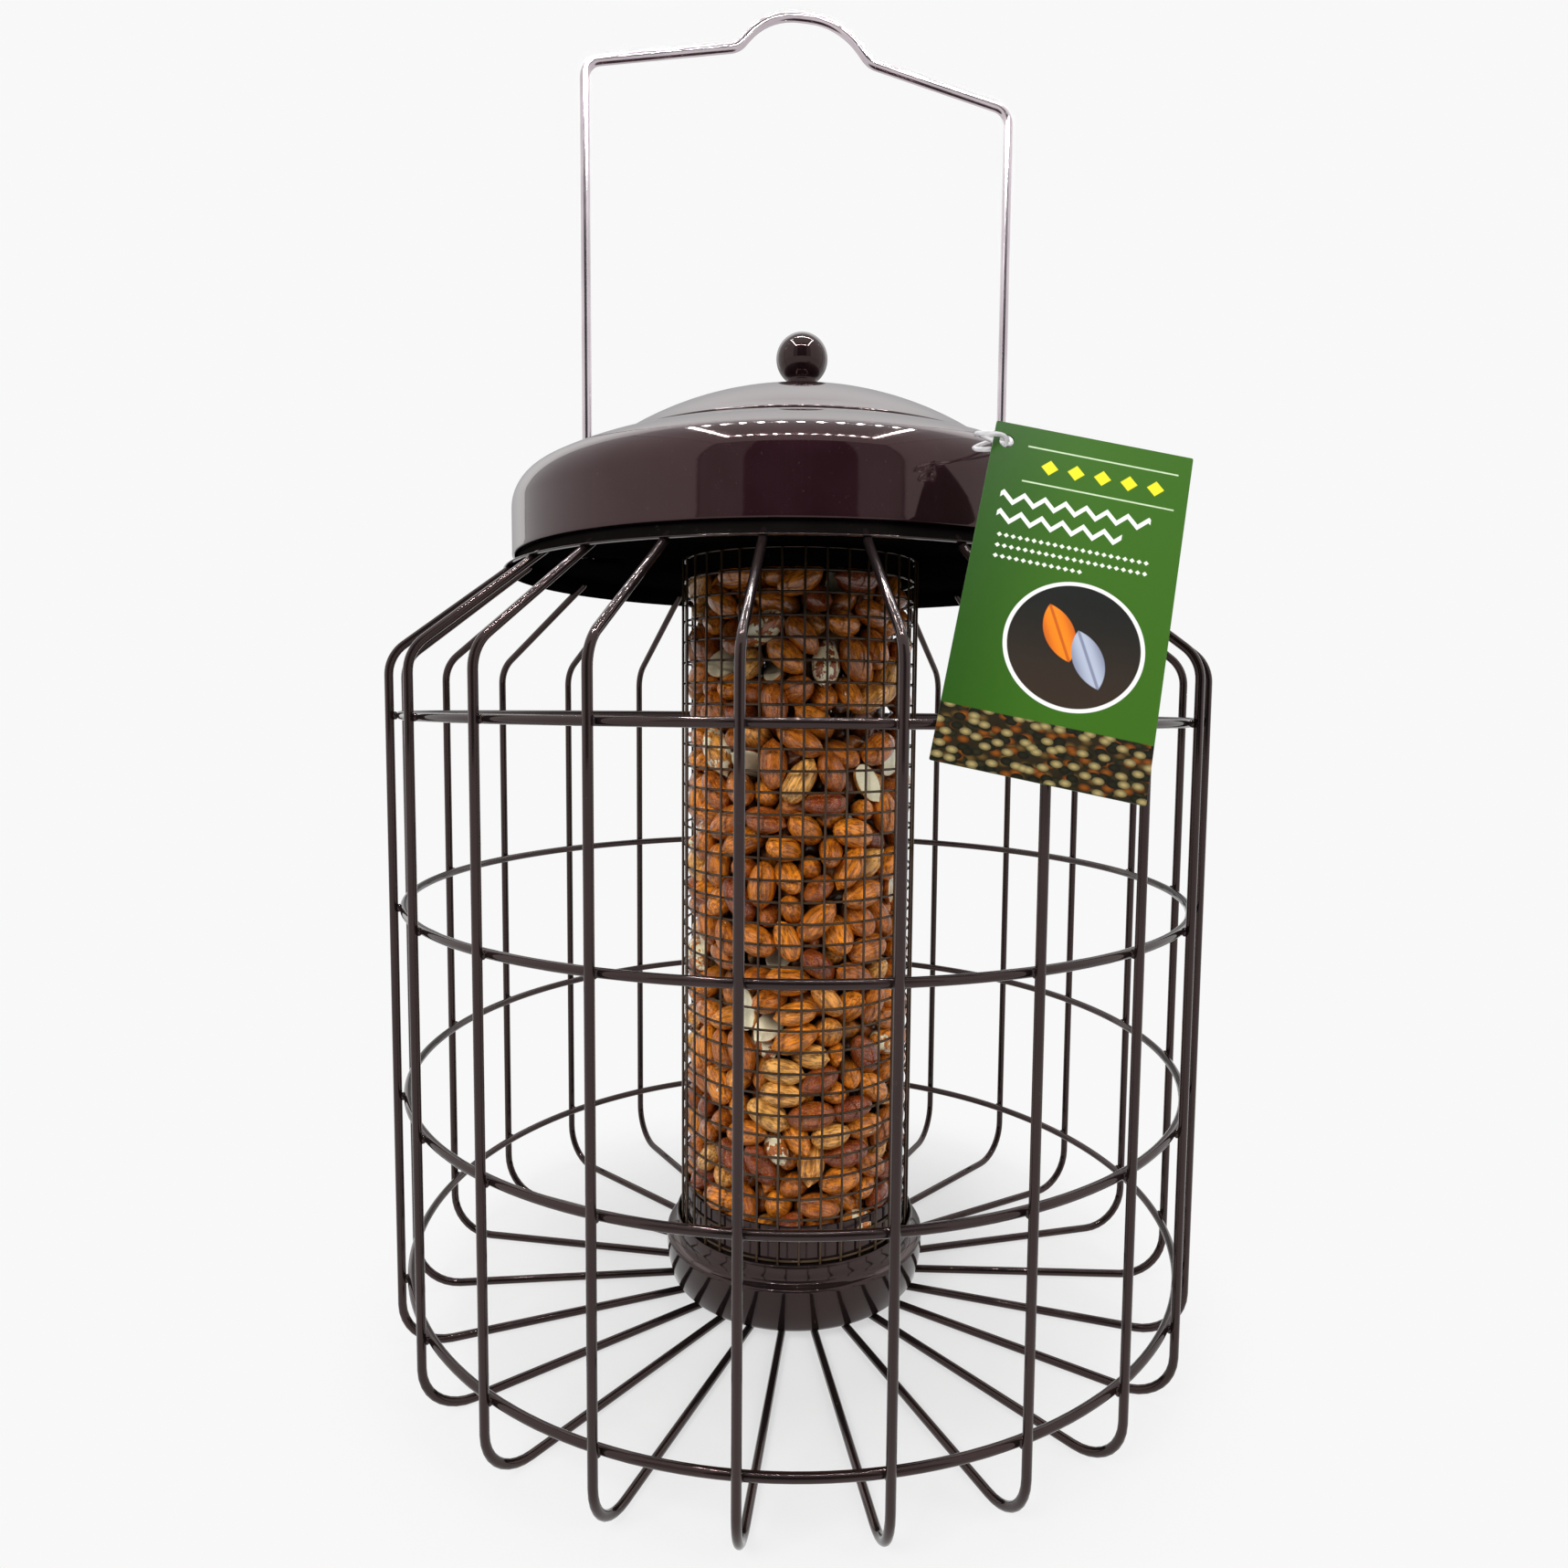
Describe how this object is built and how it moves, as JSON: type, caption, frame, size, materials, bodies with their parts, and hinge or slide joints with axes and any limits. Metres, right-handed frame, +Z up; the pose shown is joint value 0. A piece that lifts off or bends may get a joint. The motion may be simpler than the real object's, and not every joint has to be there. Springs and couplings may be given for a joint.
{
  "type": "bird feeder",
  "caption": "Squirrel proof bird feeder: round wire cage on hoops round a mesh tube of peanuts, with a domed lid that slides up a wire bail handle.",
  "frame": {"origin": "on the floor under the cage's axis, at the centre of the footprint", "axes": "+Z up along the cage's axis, -Y towards the front that carries the hang tag"},
  "size_m": [0.2266, 0.2283, 0.3683],
  "materials": {
    "brown_enamel": "gloss",
    "bright_wire": "polished",
    "zinc_steel": "satin",
    "peanut": "matte",
    "tag_card": "satin",
    "clear_plastic": "gloss"
  },
  "bodies": {
    "feeder": {"cage_wire_01": "brown_enamel", "cage_wire_02": "brown_enamel", "cage_wire_03": "brown_enamel", "cage_wire_04": "brown_enamel", "cage_wire_05": "brown_enamel", "cage_wire_06": "brown_enamel", "cage_wire_07": "brown_enamel", "cage_wire_08": "brown_enamel", "cage_wire_09": "brown_enamel", "cage_wire_10": "brown_enamel", "cage_wire_11": "brown_enamel", "cage_wire_12": "brown_enamel", "cage_wire_13": "brown_enamel", "cage_wire_14": "brown_enamel", "cage_wire_15": "brown_enamel", "cage_wire_16": "brown_enamel", "cage_wire_17": "brown_enamel", "cage_wire_18": "brown_enamel", "cage_wire_19": "brown_enamel", "cage_wire_20": "brown_enamel", "cage_wire_21": "brown_enamel", "cage_wire_22": "brown_enamel", "cage_wire_23": "brown_enamel", "cage_hoop_1": "brown_enamel", "cage_hoop_2": "brown_enamel", "cage_hoop_3": "brown_enamel", "cage_hoop_4": "brown_enamel", "cage_top_plate": "brown_enamel", "mesh_tube": "brown_enamel", "base_cup": "brown_enamel", "inner_cup": "brown_enamel", "tube_collar": "brown_enamel", "peanut_fill": "peanut", "bail_handle": "bright_wire"},
    "lid": {"lid_pan": "brown_enamel", "lid_cap": "brown_enamel", "lid_knob": "brown_enamel", "lid_washer": "zinc_steel", "knob_screw": "zinc_steel", "tag_loop": "clear_plastic"},
    "tag": {"hang_tag": "tag_card"}
  },
  "joints": [
    {"name": "lid_slide", "type": "slide", "parent": "feeder", "child": "lid", "axis": [0, 0, 1], "range_m": [0, 0.084]},
    {"name": "tag_swing", "type": "hinge", "parent": "lid", "child": "tag", "pos_m": [0.0422, -0.08767, 0.22811], "axis": [-1, 0, 0], "range_deg": [0, 60]}
  ]
}
